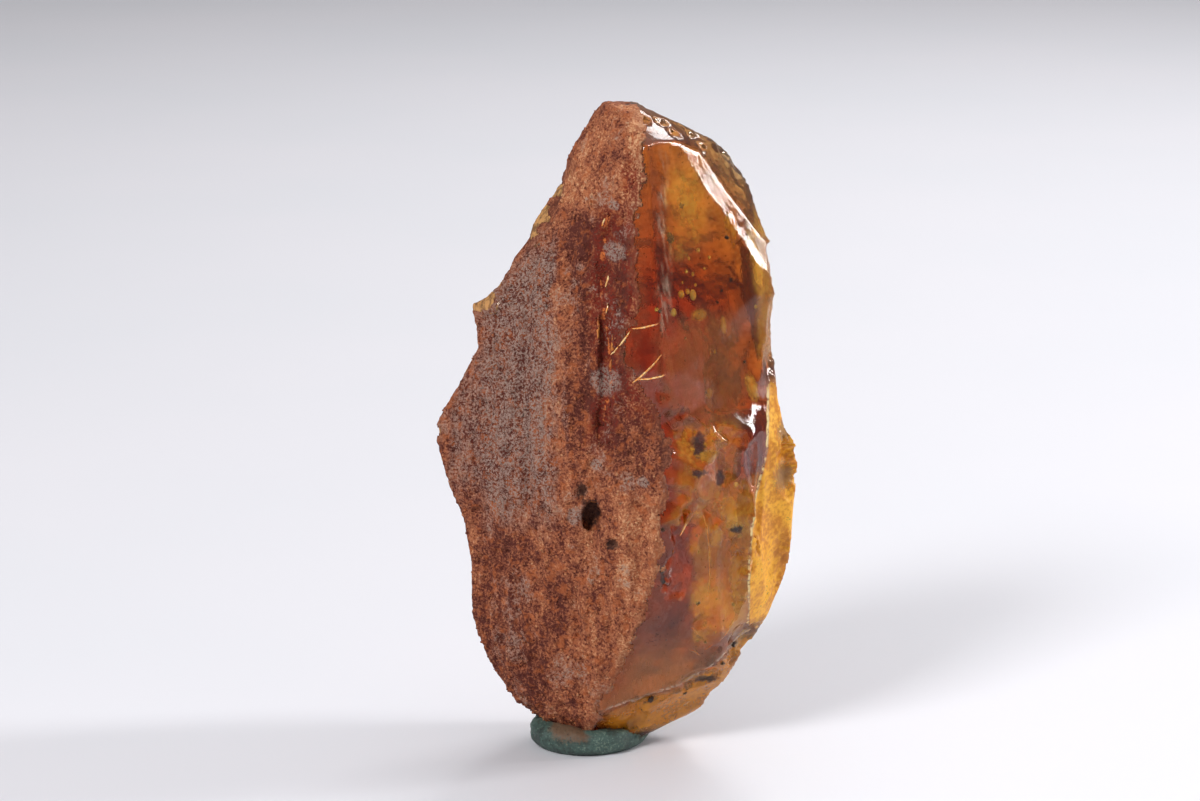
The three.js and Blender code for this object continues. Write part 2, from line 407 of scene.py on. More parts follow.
clear = {
    "waves": (3.4, 0.04),  # size and height of its slow waviness, mm
    "ripples": (0.8, 0.008),
    "backLumps": (1.5, 0.15),  # the weathered back
    "chips": [
        # x, height, facing (turn, rise), width, height, roll, depth, ring height
        (4.3, 50.4, (10, 50), 1.8, 1.2, 0, 0.3, 0.006),
        (5.7, 50, (30, 62), 1.5, 1.1, 0, 0.35, 0.006),
        (6.6, 49.3, (16, 36), 1.3, 1, 30, 0.3, 0),
        (7.9, 48.9, (50, 58), 1.6, 1, 0, 0.35, 0.006),
        (8.6, 48.2, (40, 30), 1.1, 1.4, 20, 0.25, 0),
        (10.4, 47.3, (84, 34), 1.8, 2.6, 24, 0.4, 0.009),
        (11.4, 46.3, (78, 22), 2.4, 2.6, 20, 0.45, 0.009),
        (13.2, 43.4, (76, 20), 1.8, 3.6, 22, 0.4, 0.006),
        (14.1, 39, (82, 4), 2.2, 5, 0, 0.34, 0.006),
        (14, 34.6, (80, -4), 1.9, 5, 6, 0.3, 0.006),
        (13.8, 31, (66, 10), 1.6, 3.4, -8, 0.28, 0),
        (10.6, 26.7, (44, 26), 1.4, 4.6, 48, 0.55, 0),
        (12.6, 24.4, (48, -4), 2.2, 4, 4, 0.4, 0),
        (8.2, 25.6, (20, 24), 3.4, 6, 52, 0.5, 0.006),
        (10, 24, (40, 2), 2.6, 4.6, 20, 0.34, 0),
        (6.8, 21.4, (4, 14), 2.8, 2.8, 30, 0.26, 0.006),
        (9.2, 21.2, (26, -16), 3.6, 2.6, 20, 0.3, 0.006),
        (13.2, 20.6, (36, 0), 1.6, 5.4, -6, 0.34, 0),
        (8.2, 19.4, (2, -8), 2.2, 6.4, -14, 0.3, 0.006),
        (15, 22, (72, 12), 2.4, 5.6, -4, 0.4, 0.009),
        (14.2, 15.8, (66, -8), 2.8, 6, 14, 0.4, 0.006),
        (7.4, 15.4, (6, 0), 1.9, 8, 4, 0.2, 0),
        (10.4, 14.6, (38, -6), 2.2, 8.6, 10, 0.24, 0),
        (11.8, 9.8, (50, -34), 2.6, 4.6, 34, 0.34, 0.006),
        (8.6, 6.6, (30, -52), 4, 2.2, 20, 0.32, 0.006),
        (5.2, 4.8, (14, -50), 3.6, 1.6, 12, 0.3, 0.006),
        (3.4, 2, (10, -14), 3.4, 1.7, 8, 0.34, 0.009),
        (-8.6, 36.6, (-30, 30), 2.6, 2, 30, 0.3, 0.006),
        (-4.8, 41, (-50, 10), 1.6, 3, 20, 0.25, 0.006),
        (-11.4, 25.6, (-50, 20), 1.6, 2.6, 0, 0.25, 0.006),
    ],
    "ragged": 0.35,  # how uneven a chip's outline is
    "ringPace": 7,
    "nicks": 100,  # small chance chips along its edges
    "nickWidth": (0.35, 1.5),
    "glossy": (50, 20),  # the way the long clean bevel faces, which has no nicks
    "flakeX": 13,  # nor has the right edge of the flake, past this x and at mid height, mm
}


def chipOff(coords, tree, middle, outward, width, height, roll, depth, rings=0.0):
    # moves the points down on to a shallow bowl with faint rings
    sideways = Vector((-outward.y, outward.x, 0)).normalized()
    turn = Matrix.Rotation(math.radians(roll), 3, outward)
    across = turn @ sideways
    upwards = outward.cross(across)
    for _, index, _ in tree.find_range(middle, max(width, height) * 0.75 * mm):
        offset = (coords[index] - middle) / mm
        u = offset.dot(across) / (width / 2)
        v = offset.dot(upwards) / (height / 2)
        r = math.hypot(u, v) * (1 + clear["ragged"] * grainAt(coords[index], width * 0.4, 2, depth * 30))
        bowl = depth * (r * r - 1) + rings * math.sin(math.hypot(u, v + 1) * clear["ringPace"])
        rise = offset.dot(outward) - bowl
        if r < 1.35 and rise > 0:
            coords[index] -= outward * rise * mm


def ridgeValues(obj):
    # how sharply the skin turns outwards at each vertex, in cell widths
    bm = bmesh.new()
    bm.from_mesh(obj.data)
    values = []
    for vertex in bm.verts:
        around = Vector()
        for edge in vertex.link_edges:
            around += edge.other_vert(vertex).co
        around /= max(1, len(vertex.link_edges))
        values.append((vertex.co - around).dot(vertex.normal) / (body["cell"] * mm))
    bm.free()
    return values


def shapeClearSide():
    mesh = amber.data
    normals = [v.normal.copy() for v in mesh.vertices]
    coords = [v.co.copy() for v in mesh.vertices]
    tree = pointTree(coords)
    found = [(chip, frontPoint(amber, chip[0], chip[1])) for chip in clear["chips"]]
    waveSize, waveHeight = clear["waves"]
    rippleSize, rippleHeight = clear["ripples"]
    lumpSize, lumpHeight = clear["backLumps"]
    glossy = facingVector(*clear["glossy"])
    for index, normal in enumerate(normals):
        bare = fade(-covers[index], -0.3, 0.3) * (1 - 0.8 * fade(normal.dot(glossy), 0.85, 0.95))
        move = fade(covers[index], -0.1, 0.2) * min(0, crustMoves[index] - crust["thickness"] / 2)
        if bare > 0:
            slow = grainAt(coords[index], waveSize, 2, 50) * waveHeight
            quick = grainAt(coords[index], rippleSize, 2, 60) * rippleHeight
            behind = fade(normal.y, -0.1, 0.4)
            lumps = grainAt(coords[index], lumpSize, 4, 65) * lumpHeight * behind
            move += (slow + quick + lumps) * bare
        coords[index] += normal * move * mm
    for chip, (place, _) in found:
        if place:
            chipOff(coords, tree, place, facingVector(*chip[2]), *chip[3:])
    clearEdges = [point for point in crispPoints if covers[tree.find(point)[1]] < -0.1]
    low, high = clear["nickWidth"]
    for _ in range(clear["nicks"]):
        place = clearEdges[chance.randrange(len(clearEdges))]
        index = tree.find(place)[1]
        onFlake = place.x > clear["flakeX"] * mm and 20 * mm < place.z < 30 * mm
        if onFlake or normals[index].dot(glossy) > 0.9:
            continue
        width = low + (high - low) * chance.random() ** 2
        length = width * chance.uniform(0.8, 2.2)
        jitter = Vector([chance.uniform(-0.35, 0.35) for _ in range(3)])
        outward = (normals[index] + jitter).normalized()
        roll = chance.uniform(-90, 90)
        chipOff(coords, tree, coords[index], outward, width, length, roll, width * 0.16)
    for vertex, place in zip(mesh.vertices, coords):
        vertex.co = place
    mesh.update()


shapeClearSide()
ridges = ridgeValues(amber)
storeValues(amber, "wear", [fade(ridge, 0.06, 0.3) for ridge in ridges])
storeValues(amber, "cover", covers)
storeValues(amber, "back", [fade(v.normal.y, 0, 0.35) for v in amber.data.vertices])
smoothShade(amber)
print("clear side:", len(amber.data.polygons), "faces")

# what is sealed in the amber: gas pockets and pale lenses drawn as painted glow, then cracks drawn as
# painted glints, then dark scraps and dust

def underSkin(x, z, depth):
    # a place so far in from the skin, halfway between straight back and square to it
    place, normal = frontPoint(amber, x, z)
    if not place:
        return None
    outward = Vector((0, -1, 0)).lerp(normal, 0.5).normalized()
    return place - outward * depth * mm


pockets = {
    # gas bubbles, drawn as pale gold beads: painted glow and glint of the light in them
    "bubbles": [
        # x, height, depth under the skin, radius, mm
        (8.3, 40.6, 1.2, 0.16), (7.6, 40.1, 1.6, 0.1), (7.4, 39.2, 1.1, 0.13), (7.9, 38.9, 1.5, 0.1),
        (9.2, 39.9, 1.8, 0.12), (8.8, 39.2, 1.2, 0.09), (8.1, 38.1, 1.4, 0.11), (7, 37.6, 1.3, 0.24),
        (7.5, 37.7, 1.6, 0.17), (7.9, 37.4, 1.2, 0.26), (6.4, 36.4, 1, 0.22), (7.1, 38.4, 1.5, 0.08),
        (12.7, 41.2, 0.9, 0.24), (12.8, 35.8, 0.8, 0.12), (5, 36.8, 1, 0.1), (9.6, 32.9, 1.4, 0.1),
        (13.6, 38.6, 0.7, 0.1), (11.3, 22.6, 0.8, 0.16), (9.8, 10.4, 0.9, 0.07), (6.4, 17.6, 0.9, 0.09),
    ],
    "glows": [
        # pale flat bubbles, drawn as painted glow of the light gathered in the resin: x, height, depth
        # under the skin, facing (turn, rise), width, height, mm
        (7.6, 44, 1.8, (30, 10), 2.6, 4), (11, 42, 1.8, (50, 10), 1.6, 4),
        (12.8, 39.6, 0.9, (70, 10), 2.2, 7), (12.6, 44.4, 0.8, (60, 20), 1.6, 3),
        (8.4, 35.8, 1.2, (20, 0), 1.9, 1.5), (10.3, 34.6, 1.1, (50, 10), 0.9, 1.9),
        (9.2, 29.8, 1.5, (10, 10), 1.0, 1.2), (12.6, 29.6, 1.2, (60, 20), 2, 3),
        (9.8, 18.4, 0.8, (20, -10), 1.5, 2.4), (10.8, 20, 1.2, (30, 20), 2, 3),
        (11.4, 15.4, 1.1, (30, -6), 1.6, 6), (9.3, 25, 1, (20, 0), 2.4, 1.7),
        (14.1, 26.6, 0.8, (40, 0), 1.2, 3), (14.7, 20, 0.8, (44, 0), 1.6, 7),
        (13.6, 13, 0.8, (40, -10), 1, 4), (11.8, 8.6, 1, (40, -30), 2, 3.4),
        (8.4, 6, 1, (30, -40), 4.6, 1.6), (4.2, 4.4, 0.9, (10, -40), 4, 1.2),
    ],
    "thickness": 0.24,  # mm
    "waves": (0.7, 0.05),  # size and height of the waves on the flat ones, mm
    # pale gold of the bubbles and lenses: painted glow
    "gold": (1, 0.56, 0.05),
    "pale": (1, 0.8, 0.2),
}


def makePockets():
    # thin lens-shaped ones, which are pale where they are thick, and round bubbles, all pale gold as a
    # painted glow
    bm = bmesh.new()
    core = bm.verts.layers.float.new("core")
    waveSize, waveHeight = pockets["waves"]
    for x, z, depth, facing, width, height in pockets["glows"]:
        place = underSkin(x, z, depth)
        if place:
            lens = Matrix.Diagonal((width / 2, height / 2, pockets["thickness"] / 2, 1))
            matrix = Matrix.Translation(place) @ facingTurn(facingVector(*facing)) @ lens
            made = bmesh.ops.create_icosphere(bm, subdivisions=4, radius=mm, matrix=matrix)
            inLens = matrix.inverted()
            for vertex in made["verts"]:
                vertex[core] = 1 - (inLens @ vertex.co).xy.length / mm
    for vertex in bm.verts:
        vertex.co += vertex.normal * grainAt(vertex.co, waveSize, 3, 70) * waveHeight * mm
    for x, z, depth, radius in pockets["bubbles"]:
        place = underSkin(x, z, depth * 0.6)
        if place:
            matrix = Matrix.Translation(place) @ Matrix.Diagonal((1, 1, chance.uniform(0.9, 1.4), 1))
            made = bmesh.ops.create_icosphere(bm, subdivisions=3, radius=radius * 1.2 * mm, matrix=matrix)
            for vertex in made["verts"]:
                vertex[core] = 2
    return newObject("pocket_glows", bm)


pocketGlows = makePockets()
print("gas pockets:", len(pocketGlows.data.polygons), "faces")

# cracks and fracture edges as thin blades, coloured bright orange and pale gold: painted glints and glow of
# the light they catch
blades = {
    "places": [
        # x, height, depth under the skin, length, turn in the face, mm
        (8.2, 10.6, 0.3, 1.1, 130), (8.3, 8.6, 0.25, 1.3, 140), (9.3, 9, 0.3, 0.9, 40),
        (12.7, 17, 0.2, 3.8, 95), (11, 19.2, 0.5, 0.7, 30), (9.4, 33, 0.6, 0.5, 80),
        (5.2, 18.4, 0.4, 0.6, 60), (9.3, 17, 0.3, 7.4, 97), (7.3, 20.4, 0.35, 3, 112),
        (10.9, 10.4, 0.3, 2.2, 64), (2.4, 34.1, 0, 2.6, 53), (4.2, 35.5, 0, 2.3, 15),
        (4.2, 32.1, 0, 4, 44), (4.6, 31.7, 0, 2.6, 13), (1.1, 42.6, -0.18, 1.2, 70),
        (1.6, 38.7, -0.18, 1.5, 100), (1.4, 36.6, -0.18, 1.1, 80),
    ],
    "broad": 0.1,  # half its width, mm
    "thin": 0.07,  # half its thickness, mm
    "bend": 0.05,  # share of its length
    "waves": (0.4, 0.04),  # mm
    "orange": (0.85, 0.3, 0.05),
    "pale": (1, 0.72, 0.32),
}


def makeCracks():
    # each is a thin blade with pointed ends, a little bent
    bm = bmesh.new()
    waveSize, waveHeight = blades["waves"]
    for x, z, depth, length, turn in blades["places"]:
        place, normal = frontPoint(amber, x, z)
        if not place:
            continue
        made = bmesh.ops.create_icosphere(bm, subdivisions=3, radius=mm)
        for vertex in made["verts"]:
            along = vertex.co.x / mm
            vertex.co.y = vertex.co.y * blades["thin"] + along * along * blades["bend"] * length * mm
            vertex.co.z *= blades["broad"]
            vertex.co.x *= length / 2
            vertex.co.y += grainAt(vertex.co, waveSize, 2, x) * waveHeight * mm
        matrix = Matrix.Translation(place - normal * depth * mm) @ facingTurn(normal)
        matrix = matrix @ Matrix.Rotation(math.radians(turn), 4, "Z")
        bmesh.ops.transform(bm, matrix=matrix, verts=made["verts"])
    return newObject("crackGlints", bm)


crackGlints = makeCracks()
print("cracks:", len(crackGlints.data.polygons), "faces")

scraps = {
    "places": [
        # x, height, depth under the skin, radius, mm
        (7, 44.1, 0.3, 0.19), (10.5, 41.3, 0.3, 0.18), (10.8, 38.1, 0.4, 0.15), (10.1, 37.4, 0.4, 0.12),
        (9.8, 36.6, 0.5, 0.12), (7.3, 34.4, 0.5, 0.08), (11.9, 31.8, 0.4, 0.12), (8.9, 30, 0.4, 0.1),
        (6.2, 41.8, 0.8, 0.34), (11.3, 19.2, 0.5, 0.3), (11.7, 19.3, 0.5, 0.2), (10.9, 19.1, 0.5, 0.2),
        (11.6, 18.5, 0.5, 0.14), (5.3, 18.3, 0.4, 0.16), (5.6, 16.4, 0.4, 0.2), (5.7, 15.4, 0.4, 0.14),
        (5.6, 19.8, 0.4, 0.16), (8.4, 13.2, 0.15, 0.17), (11.2, 12.6, 0.15, 0.15),
        (8.4, 9.8, 0.2, 0.16), (9, 9.6, 0.2, 0.14), (10.4, 11.4, 0.2, 0.08), (14.8, 16.4, 0.3, 0.1),
        (11.3, 8.6, 0.02, 0.24), (10.4, 7.4, 0.02, 0.16), (4.8, 4.5, 0.02, 0.26),
        (7.5, 4.7, 0.02, 0.18),
    ],
    "dust": 420,  # fine specks all through the clear side
    "dustRadius": (0.018, 0.06),  # mm
    "dark": (0.022, 0.014, 0.01),
    "pale": (0.16, 0.12, 0.1),
}


def makeSpecks():
    bm = bmesh.new()
    for x, z, depth, radius in scraps["places"]:
        place = underSkin(x, z, depth)
        if not place:
            continue
        matrix = Matrix.Translation(place)
        made = bmesh.ops.create_icosphere(bm, subdivisions=3, radius=radius * 1.35 * mm, matrix=matrix)
        for vertex in made["verts"]:
            rough = 0.62 + 0.7 * grainAt(vertex.co, radius * 1.1, 3, x)
            vertex.co = place + (vertex.co - place) * max(0.15, rough)
    for _ in range(scraps["dust"]):
        place = underSkin(chance.uniform(4, 15), chance.uniform(4, 49), chance.uniform(0.2, 4) ** 1.3)
        if place:
            radius = chance.uniform(*scraps["dustRadius"])
            shape = Matrix.Diagonal((1, 1, chance.uniform(0.6, 2), 1))
            bmesh.ops.create_icosphere(bm, subdivisions=1, radius=radius * mm,
                                       matrix=Matrix.Translation(place) @ shape)
    return newObject("specks", bm)


specks = makeSpecks()
print("specks:", len(specks.data.polygons), "faces")

# the putty that holds the stone up

putty = {
    "cell": 0.16,  # mm
    "press": 0.3,  # how much closer it comes to the stone than in the CAD, mm
    "dents": (1.9, 0.16),  # size and depth of the finger marks, mm
    "lumps": (0.6, 0.05),
    "colour": (0.06, 0.11, 0.09),
    "pale": (0.17, 0.24, 0.19),
    "dark": (0.028, 0.045, 0.038),
    "smear": (0.16, 0.075, 0.035),
    "speck": (0.02, 0.016, 0.014),
}


def makePutty():
    obj = newObject("putty", mergedCopy("putty_pad"))
    remesh(obj, putty["cell"])
    addSmoothing(obj, 3)
    applyModifiers(obj)
    dentSize, dentDepth = putty["dents"]
    lumpSize, lumpHeight = putty["lumps"]
    mesh = obj.data
    normals = [v.normal.copy() for v in mesh.vertices]
    for vertex, normal in zip(mesh.vertices, normals):
        loose = fade(vertex.co.z / mm, 0.1, 0.5)
        move = grainAt(vertex.co, dentSize, 2, 80) * dentDepth
        move += grainAt(vertex.co, lumpSize, 3, 90) * lumpHeight
        move += fade(normal.z, 0.2, 0.8) * putty["press"]
        vertex.co += normal * move * loose * mm
        vertex.co.z = max(0, vertex.co.z)
    smoothShade(obj)
    return obj


puttyDab = makePutty()
print("putty:", len(puttyDab.data.polygons), "faces")

# a short way to write materials

class Wire:
    # a node's output, which can be used in sums
    def __init__(self, shader, socket):
        self.shader = shader
        self.socket = socket

    def math(self, operation, first, second):
        return self.shader.node("ShaderNodeMath", {"operation": operation}, {0: first, 1: second})

    def __add__(self, other):
        return self.math("ADD", self, other)

    __radd__ = __add__

    def __sub__(self, other):
        return self.math("SUBTRACT", self, other)

    def __rsub__(self, other):
        return self.math("SUBTRACT", other, self)

    def __mul__(self, other):
        return self.math("MULTIPLY", self, other)

    __rmul__ = __mul__

    def __abs__(self):
        return self.math("ABSOLUTE", self, 0)

    def most(self, other):
        return self.math("MAXIMUM", self, other)


class Shader:
    # one material and the nodes in it
    def __init__(self, name):
        self.material = bpy.data.materials.new(name)
        self.material.use_nodes = True
        self.tree = self.material.node_tree
        self.tree.nodes.clear()

    def node(self, kind, settings=None, values=None, output=0):
        node = self.tree.nodes.new(kind)
        for key, value in (settings or {}).items():
            if key == "stops":
                self.setStops(node.color_ramp, value)
            else:
                setattr(node, key, value)
        for key, value in (values or {}).items():
            if isinstance(value, Wire):
                self.tree.links.new(value.socket, node.inputs[key])
            else:
                node.inputs[key].default_value = value
        return Wire(self, node.outputs[output])

    def setStops(self, ramp, stops):
        while len(ramp.elements) < len(stops):
            ramp.elements.new(1)
        for element, (place, colour) in zip(ramp.elements, stops):
            element.position = place
            element.color = (*colour, 1)

    def place(self):
        return self.node("ShaderNodeTexCoord", output="Object")

    def value(self, name):
        # a number stored on the mesh
        return self.node("ShaderNodeAttribute", {"attribute_name": name}, output="Fac")

    def stretched(self, place, scale, turn=0):
        values = {"Vector": place, "Scale": scale, "Rotation": (0, math.radians(turn), 0)}
        return self.node("ShaderNodeMapping", None, values)

    def axes(self, place):
        # x, y and z in millimetres
        inMm = self.node("ShaderNodeVectorMath", {"operation": "SCALE"}, {0: place, "Scale": 1000})
        return [self.node("ShaderNodeSeparateXYZ", None, {0: inMm}, axis) for axis in "XYZ"]

    def noise(self, place, size, detail=3, rough=0.55, distort=0):
        # mostly between -0.5 and 0.5
        values = {"Vector": place, "Scale": 1 / (size * mm), "Detail": detail, "Roughness": rough,
                  "Distortion": distort}
        return (self.node("ShaderNodeTexNoise", None, values) - 0.5) * 2

    def cells(self, place, size):
        return self.node("ShaderNodeTexVoronoi", None, {"Vector": place, "Scale": 1 / (size * mm)})

    def fade(self, value, low, high):
        values = {"Value": value, "From Min": low, "From Max": high}
        return self.node("ShaderNodeMapRange", {"interpolation_type": "SMOOTHSTEP"}, values)

    def band(self, value, middle, half, soft):
        # 1 within half of the middle, and 0 from soft further out
        return 1 - self.fade(abs(value - middle), half, half + soft)

    def ramp(self, value, stops):
        return self.node("ShaderNodeValToRGB", {"stops": stops}, {"Fac": value})

    def mix(self, factor, first, second):
        first = first if isinstance(first, Wire) else (*first, 1)
        second = second if isinstance(second, Wire) else (*second, 1)
        return self.node("ShaderNodeMix", {"data_type": "RGBA"}, {0: factor, 6: first, 7: second}, 2)

    def bump(self, height, distance, strength=1.0):
        values = {"Height": height, "Distance": distance * mm, "Strength": strength}
        return self.node("ShaderNodeBump", None, values)

    def spot(self, x, z, place, across, up):
        # 0 in the middle of an upright oval on the front and 1 at its rim
        values = {0: (x - place[0]) * (1 / across), 2: (z - place[1]) * (1 / up)}
        offset = self.node("ShaderNodeCombineXYZ", None, values)
        return self.node("ShaderNodeVectorMath", {"operation": "LENGTH"}, {0: offset}, "Value")

    def surface(self, values):
        return self.node("ShaderNodeBsdfPrincipled", None, values)

    def finish(self, surface, volume=None):
        output = self.tree.nodes.new("ShaderNodeOutputMaterial")
        self.tree.links.new(surface.socket, output.inputs["Surface"])
        if volume:
            self.tree.links.new(volume.socket, output.inputs["Volume"])
        return self.material


def give(obj, *materials):
    for slot, material in enumerate(materials):
        if slot < len(obj.data.materials):
            obj.data.materials[slot] = material
        else:
            obj.data.materials.append(material)


# the crust's finish

crustFinish = {
    "grain": 0.2,  # mm
    "maroon": (0.1, 0.02, 0.012),
    "brown": (0.29, 0.085, 0.04),
    "tan": (0.48, 0.17, 0.072),
    "sand": (0.7, 0.37, 0.19),
    "dust": (0.36, 0.245, 0.2),
    "dustDark": (0.19, 0.105, 0.082),
    "deepRed": (0.2, 0.02, 0.008),
    # painted glow: the bright orange of the amber slivers in the crack, for the light coming through them
    "orange": (0.62, 0.16, 0.04),
    "rim": (0.2, 0.065, 0.03),
    "spot": (0.34, 0.245, 0.2),
    # painted shade, nearly black, in the deepest pits
    "pit": (0.04, 0.024, 0.02),
    "ember": (0.46, 0.12, 0.035),
    # the amber under the crust, seen from inside: its own red-brown, made brighter as a painted glow
    "inside": (0.42, 0.11, 0.02),
    "insideGlow": (0.66, 0.23, 0.04),
    # upright zones on the front: middle, half width and soft edge, mm
    "belt": (-1.6, 2, 1.4),
    "darkMiddle": (1, 1.4, 1.3),
    "leftDust": (-5.6, 2.3, 1.2),
    "edgeDust": (-9.4, 0.9, 1.2),
}


def crackColours(s, colour, x, z, front, noises):
    # deep red by the long crack, with orange slivers of amber in it, painted bright orange to stand in for
    # the light that glows through them
    streaks, blots, speckle, fine = noises
    sway, pace = crust["crackSway"]
    bend = s.node("ShaderNodeMath", {"operation": "SINE"}, {0: z * pace}) * sway + crust["crackX"]
    offCrack = abs(x - bend + s.fade(z, crust["crackFoot"], 20) * 0.6 + streaks * 0.5)
    span = s.fade(z, 24, 29) * s.fade(z, 46, 42)
    stained = (1 - s.fade(offCrack + blots * 1.2, 0.3, 1.5)) * span
    rightStain = s.fade(x + blots * 1.6, 2.1, 3) * s.fade(z, 27, 31) * s.fade(z, 50, 46)
    red = stained.most(rightStain) * front * s.fade(speckle + fine * 0.5, 0.22, -0.1)
    colour = s.mix(red * 0.85, colour, crustFinish["deepRed"])
    # painted glow: orange slivers along the crack, bright as if lit from behind
    glint = s.band(offCrack, 0, 0.04, 0.12) * s.fade(blots + speckle * 0.4, 0.02, 0.16) * span
    return s.mix(glint * front, colour, crustFinish["orange"])


def spotColours(s, colour, x, z, front, noises):
    # the flat grey spots, and painted shade darkening the deep pits
    look = crustFinish
    blots, speckle, fine = noises
    for spotX, spotZ, radius in crust["spots"]:
        reach = s.spot(x, z, (spotX, spotZ), radius, radius) + speckle * 0.3 + blots * 0.8
        mask = 1 - s.fade(reach, 0.75, 1.1)
        colour = s.mix(mask * front * s.fade(fine + speckle, -0.3, 0.1) * 0.8, colour, look["spot"])
    for pitX, pitZ, across, up, depth in crust["pits"]:
        # painted shade: only the deepest pits are darkened
        if depth > 0.4:
            reach = s.spot(x, z, (pitX, pitZ), across, up) + speckle * 0.5 + blots * 0.9
            mask = 1 - s.fade(reach, 0.6, 1.1)
            colour = s.mix(mask * front * 0.76, colour, look["pit"])
    return colour


def crustMaterial(name, loose):
    look = crustFinish
    s = Shader(name)
    place = s.place()
    x, y, z = s.axes(place)
    front = s.fade(y, 1, -1)
    bands = s.noise(s.stretched(place, (1, 1, 0.13)), 1.7, 4, 0.6, 0.5)
    streaks = s.noise(s.stretched(place, (1, 1, 0.2)), 0.5, 3, 0.6)
    patches = s.noise(place, 3.6, 4, 0.62)
    blots = s.noise(place, 1.1, 3, 0.6)
    speckle = s.noise(place, look["grain"], 2, 0.6)
    fine = s.noise(place, 0.09, 2, 0.6)
    cells = s.cells(place, 0.28)
    # lighter, more orange grain in an upright belt, low on the right and at the top
    belt = s.band(x + bands * 1.5, *look["belt"]) * s.fade(z + patches * 3, 41, 36)
    low = s.fade(z + patches * 5, 25, 21) * s.fade(x + patches, 1, 2.6)
    top = s.fade(z + patches * 2, 42, 45)
    darkMiddle = s.band(x + blots * 1.5, *look["darkMiddle"]) * s.fade(z + blots, 24, 28)
    darkLow = s.fade(z + patches * 5, 17, 9) * s.fade(x, 0, -3)
    lean = belt * 0.08 + low * 0.21 + top * 0.31 - darkMiddle * 0.18 - darkLow * 0.05
    tone = 0.4 + bands * 0.22 + patches * 0.25 + streaks * 0.2 + blots * 0.27 + speckle * 0.44
    tone = tone + fine * 0.24 - cells * 0.1 + lean * front
    if loose:
        tone = tone + s.value("tint") * 0.3 - 0.1
    colour = s.ramp(tone, [(0.24, look["maroon"]), (0.4, look["brown"]), (0.57, look["tan"]),
                           (0.76, look["sand"])])
    warm = s.fade(s.noise(place, 0.8, 3, 0.6, 0.4), 0.02, 0.35)
    colour = s.mix(warm * 0.6, colour, look["ember"])
    # grey dust in the broad upright bands on the left and scattered over the rest
    leftBand = s.band(x + bands * 2 + patches, *look["leftDust"]) * s.fade(z + patches * 5, 17, 23)
    leftBand = leftBand * s.fade(z + patches * 2, 43, 39)
    wide = s.band(x + bands * 2, *look["edgeDust"]) * s.fade(z, 19, 23) * s.fade(z, 34, 31)
    dusty = (leftBand * 0.95).most(wide * 0.7).most(s.fade(patches + blots * 0.5, 0.1, 0.34) * 0.7)
    dusty = dusty * s.fade(speckle + fine * 0.6 + streaks * 0.6, -0.26, 0.2)
    dust = s.mix(s.fade(fine + speckle, -0.2, 0.3), look["dustDark"], look["dust"])
    colour = s.mix(dusty * front, colour, dust)
    colour = crackColours(s, colour, x, z, front, (streaks, blots, speckle, fine))
    if not loose:
        rim = s.fade(s.value("cover") + blots * 0.5, 0.2, -0.2)
        colour = s.mix(rim * 0.35, colour, look["rim"])
    colour = spotColours(s, colour, x, z, front, (blots, speckle, fine))
    normal = s.bump(speckle * 0.7 + fine * 0.5 - cells * 0.4, 0.09, 0.9)
    return s.finish(s.surface({"Base Color": colour, "Roughness": 0.85 - speckle * 0.3,
                               "Specular IOR Level": 0.3, "Normal": normal}))


def cloudyMaterial(name, size, detail, limits, colours, rough, bump):
    # two colours in soft clouds
    s = Shader(name)
    cloud = s.noise(s.place(), size, detail, 0.6)
    colour = s.mix(s.fade(cloud, *limits), *colours)
    normal = s.bump(cloud, bump)
    return s.finish(s.surface({"Base Color": colour, "Roughness": rough + cloud * 0.3, "Normal": normal}))


# the red-brown amber just under the crust, seen through the clear side, made bright orange as a painted
# glow for the light that comes through the amber
insideColours = (crustFinish["inside"], crustFinish["insideGlow"])
crustInside = cloudyMaterial("crust inside", 2.2, 4, (-0.3, 0.35), insideColours, 0.6, 0.3)
give(crustSkin, crustMaterial("crust", False), crustInside)
give(crustGrains, crustMaterial("crust grains", True))
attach(crustSkin, "root")
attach(crustGrains, "root")
print("crust finished")

# the amber's finish

amberFinish = {
    "skin": (1, 0.94, 0.84),
    "ior": 1.54,
    "gloss": 0.18,
    "absorb": (0.9, 0.59, 0.0),  # how freely red, green and blue pass
    "density": 510,  # how fast the rest is taken up, a metre
    "haze": (0.32, 0.15, 0.058),  # the smoky rubbed face low in the middle
    # pale film of the worn edges and rubbed rim, also used for the painted reflection streak on the ridge
    "scuffAndSheen": (0.66, 0.5, 0.36),
    "stain": (0.2, 0.055, 0.012),
    "backSkin": (0.46, 0.2, 0.06),
    "backDark": (0.17, 0.06, 0.02),
    "deepWarm": (0.34, 0.12, 0.012),
    # painted glow: bright gold film for light shining through thin amber, and a painted highlight colour
    # for the flake's edge
    "gold": (1, 0.5, 0.045),
    "goldDeep": (0.8, 0.28, 0.015),
    "goldHighlight": (1, 0.82, 0.42),
    "goldDust": (0.22, 0.16, 0.08),
    "ochre": (0.6, 0.31, 0.11),
    "ochreDark": (0.2, 0.1, 0.04),
    "dirt": (0.05, 0.035, 0.028),
    "dirtPatches": [  # x, height, half width, half height, mm
        (8.3, 26.2, 0.8, 1.3), (8.3, 24.1, 0.8, 0.45), (10, 23.3, 0.5, 0.85), (11.4, 19.1, 0.8, 0.4),
        (5.6, 15.8, 0.3, 0.9), (9, 5.9, 1.2, 0.35),
    ],
}


